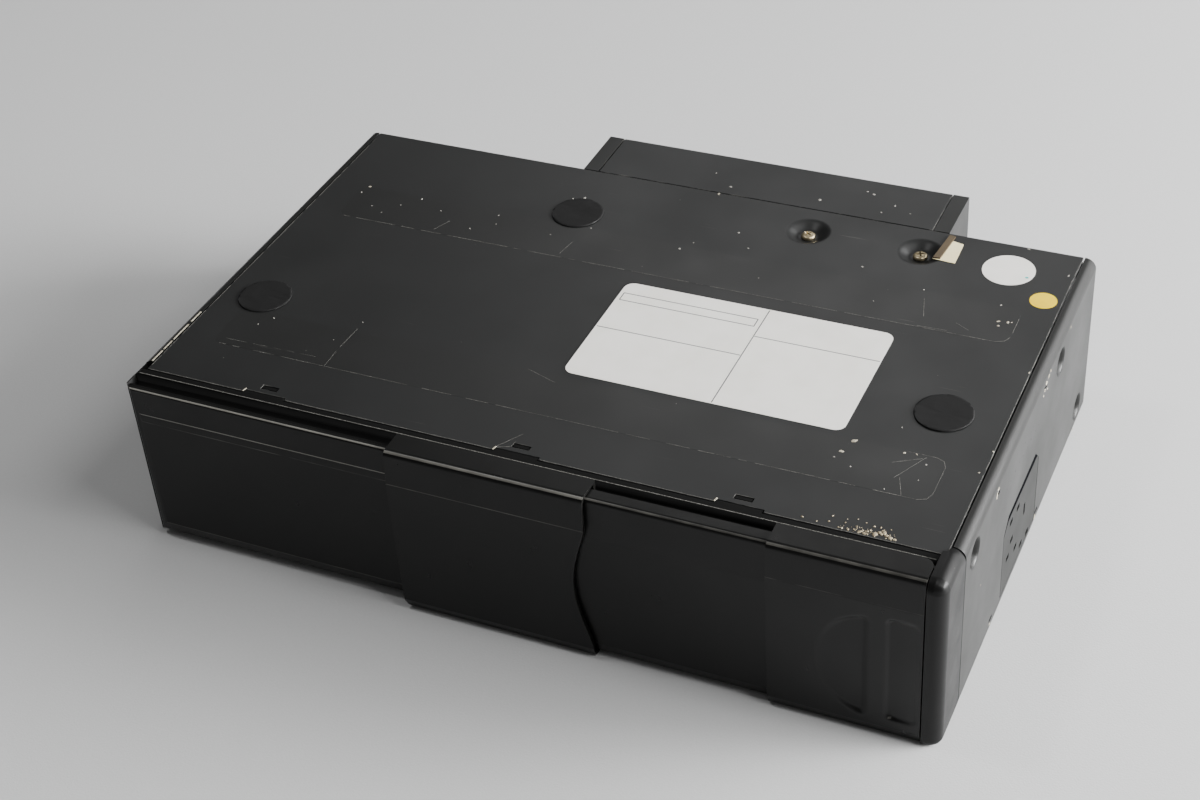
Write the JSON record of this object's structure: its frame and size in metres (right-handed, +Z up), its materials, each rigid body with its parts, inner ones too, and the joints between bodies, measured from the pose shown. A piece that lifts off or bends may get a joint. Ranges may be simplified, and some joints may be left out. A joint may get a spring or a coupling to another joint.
{
  "type": "car disc changer",
  "caption": "Flat sheet-metal car disc changer lying upside down: base plate with dimples, telescoping sliding door over a tray magazine, rear connector box.",
  "frame": {"origin": "middle of the bottom of the bounding box, on the surface that the unit lies on", "axes": "+Z up out of the base plate, -Y towards the sliding door, +X along the front towards the door's grip"},
  "size_m": [0.255, 0.1826, 0.059],
  "materials": {
    "shell": "charcoal satin paint on pressed steel sheet",
    "plate": "charcoal satin paint on steel sheet, lightly scratched",
    "bezel": "moulded matte black",
    "skin": "fine-grained matte black",
    "cap": "thin black adhesive sheet",
    "zinc": "zinc-plated steel",
    "steel": "galvanised steel sheet",
    "nylon": "natural moulded plastic",
    "dark": "black moulded plastic",
    "rubber": "soft black rubber",
    "board": "green lacquered circuit board"
  },
  "bodies": {
    "housing": {"housing_shell": "shell", "base_plate": "plate", "left_front_screw": "zinc", "left_rear_screw": "zinc", "left_low_screw": "zinc", "right_front_screw": "zinc", "right_rear_screw": "zinc", "right_low_screw": "zinc", "left_plate_screw": "zinc", "right_plate_screw": "zinc", "left_adhesive_cap": "cap", "middle_adhesive_cap": "cap", "right_adhesive_cap": "cap", "rear_wall": "plate", "rear_box": "shell", "rear_box_lid": "plate", "rear_socket": "dark", "main_board": "board", "front_bezel": "bezel", "left_front_panel": "skin", "eject_switch_board": "board", "mechanism_base": "steel", "left_front_damper": "rubber", "left_rear_damper": "rubber", "right_front_damper": "rubber", "right_rear_damper": "rubber", "front_bracket": "steel", "rear_bracket": "steel", "magazine_cradle": "steel", "lift_motor": "steel", "left_angle_plate": "shell", "right_angle_plate": "shell"},
    "middle_cover": {"middle_cover": "skin"},
    "grip_door": {"grip_door": "skin"},
    "eject_button": {"eject_button": "dark"},
    "magazine": {"magazine_case": "dark"},
    "eject_pusher": {"eject_pusher": "nylon"},
    "front_lift_plate": {"front_lift_plate": "steel"},
    "rear_lift_plate": {"rear_lift_plate": "steel"},
    "lift_shaft": {"lift_shaft": "nylon"},
    "lift_motor_pinion": {"lift_motor_pinion": "nylon"},
    "deck": {"deck_chassis": "steel", "spindle_motor": "steel", "sled_guide_rod": "steel", "sled_motor": "steel", "loading_motor": "steel"},
    "turntable": {"turntable": "dark"},
    "pickup_sled": {"pickup_sled": "dark"},
    "lead_screw": {"sled_lead_screw": "steel"},
    "clamp_arm": {"clamp_arm": "steel"},
    "clamp_puck": {"clamp_puck": "nylon"},
    "tray_puller": {"tray_puller": "nylon"},
    "left_selector_wheel": {"left_selector_wheel": "nylon"},
    "right_selector_wheel": {"right_selector_wheel": "nylon"},
    "tray_1": {"disc_tray_1": "nylon"},
    "tray_2": {"disc_tray_2": "nylon"},
    "tray_3": {"disc_tray_3": "nylon"},
    "tray_4": {"disc_tray_4": "nylon"},
    "tray_5": {"disc_tray_5": "nylon"},
    "tray_6": {"disc_tray_6": "nylon"}
  },
  "joints": [
    {"name": "middle_cover_slide", "type": "slide", "parent": "housing", "child": "middle_cover", "axis": [-1, 0, 0], "range_m": [0, 0.088]},
    {"name": "grip_door_slide", "type": "slide", "parent": "middle_cover", "child": "grip_door", "axis": [-1, 0, 0], "range_m": [0, 0.052]},
    {"name": "eject_button_press", "type": "slide", "parent": "housing", "child": "eject_button", "axis": [0, 1, 0], "range_m": [0, 0.0024], "stiffness_N_per_m": 300, "springref_m": -0.001},
    {"name": "magazine_slide", "type": "slide", "parent": "housing", "child": "magazine", "axis": [0, -1, 0], "range_m": [0, 0.0038]},
    {"name": "eject_pusher_slide", "type": "slide", "parent": "housing", "child": "eject_pusher", "axis": [0, -1, 0], "range_m": [0, 0.0038]},
    {"name": "tray_1_slide", "type": "slide", "parent": "magazine", "child": "tray_1", "axis": [-1, 0, 0], "range_m": [0, 0.012]},
    {"name": "tray_2_slide", "type": "slide", "parent": "magazine", "child": "tray_2", "axis": [-1, 0, 0], "range_m": [0, 0.012]},
    {"name": "tray_3_slide", "type": "slide", "parent": "magazine", "child": "tray_3", "axis": [-1, 0, 0], "range_m": [0, 0.012]},
    {"name": "tray_4_slide", "type": "slide", "parent": "magazine", "child": "tray_4", "axis": [-1, 0, 0], "range_m": [0, 0.012]},
    {"name": "tray_5_slide", "type": "slide", "parent": "magazine", "child": "tray_5", "axis": [-1, 0, 0], "range_m": [0, 0.012]},
    {"name": "tray_6_slide", "type": "slide", "parent": "magazine", "child": "tray_6", "axis": [-1, 0, 0], "range_m": [0, 0.012]},
    {"name": "elevator_lift", "type": "slide", "parent": "housing", "child": "deck", "axis": [0, 0, 1], "range_m": [0, 0.02525]},
    {"name": "front_lift_plate_slide", "type": "slide", "parent": "housing", "child": "front_lift_plate", "axis": [1, 0, 0], "range_m": [0, 0.02525]},
    {"name": "rear_lift_plate_slide", "type": "slide", "parent": "housing", "child": "rear_lift_plate", "axis": [1, 0, 0], "range_m": [0, 0.02525]},
    {"name": "lift_shaft_turn", "type": "hinge", "parent": "housing", "child": "lift_shaft", "pos_m": [-0.09, -0.00505, 0.0092], "axis": [0, 1, 0], "range_deg": [0, 301.5]},
    {"name": "lift_motor_pinion_turn", "type": "hinge", "parent": "housing", "child": "lift_motor_pinion", "pos_m": [-0.0988, -0.05685, 0.0092], "axis": [0, 1, 0], "range_deg": [-362, 0]},
    {"name": "turntable_spin", "type": "hinge", "parent": "deck", "child": "turntable", "pos_m": [-0.066, -0.00535, 0.015], "axis": [0, 0, 1], "continuous": true},
    {"name": "pickup_sled_slide", "type": "slide", "parent": "deck", "child": "pickup_sled", "axis": [0, 1, 0], "range_m": [0, 0.03]},
    {"name": "lead_screw_turn", "type": "hinge", "parent": "deck", "child": "lead_screw", "pos_m": [-0.084, 0.02995, 0.0215], "axis": [0, 1, 0], "range_deg": [0, 3601]},
    {"name": "clamp_arm_swing", "type": "hinge", "parent": "deck", "child": "clamp_arm", "pos_m": [-0.066, 0.05785, 0.0105], "axis": [1, 0, 0], "range_deg": [0, 3], "stiffness_Nm_per_rad": 0.1, "springref_deg": -6.88},
    {"name": "clamp_puck_spin", "type": "hinge", "parent": "clamp_arm", "child": "clamp_puck", "pos_m": [-0.066, -0.00535, 0.0115], "axis": [0, 0, 1], "continuous": true},
    {"name": "tray_puller_slide", "type": "slide", "parent": "deck", "child": "tray_puller", "axis": [-1, 0, 0], "range_m": [0, 0.072]},
    {"name": "left_selector_wheel_turn", "type": "hinge", "parent": "housing", "child": "left_selector_wheel", "pos_m": [-0.1235, -0.01355, 0.0165], "axis": [1, 0, 0], "range_deg": [0, 90]},
    {"name": "right_selector_wheel_turn", "type": "hinge", "parent": "housing", "child": "right_selector_wheel", "pos_m": [0.1235, -0.01355, 0.0165], "axis": [1, 0, 0], "range_deg": [0, 90]}
  ],
  "couplings": [
    {"joint": "eject_pusher_slide", "follows": "magazine_slide", "ratio": 1},
    {"joint": "front_lift_plate_slide", "follows": "elevator_lift", "ratio": 1},
    {"joint": "rear_lift_plate_slide", "follows": "elevator_lift", "ratio": 1},
    {"joint": "lift_shaft_turn", "follows": "elevator_lift", "rad_per_m": 208.33},
    {"joint": "lift_motor_pinion_turn", "follows": "elevator_lift", "rad_per_m": -250},
    {"joint": "lead_screw_turn", "follows": "pickup_sled_slide", "rad_per_m": 2094.4}
  ]
}
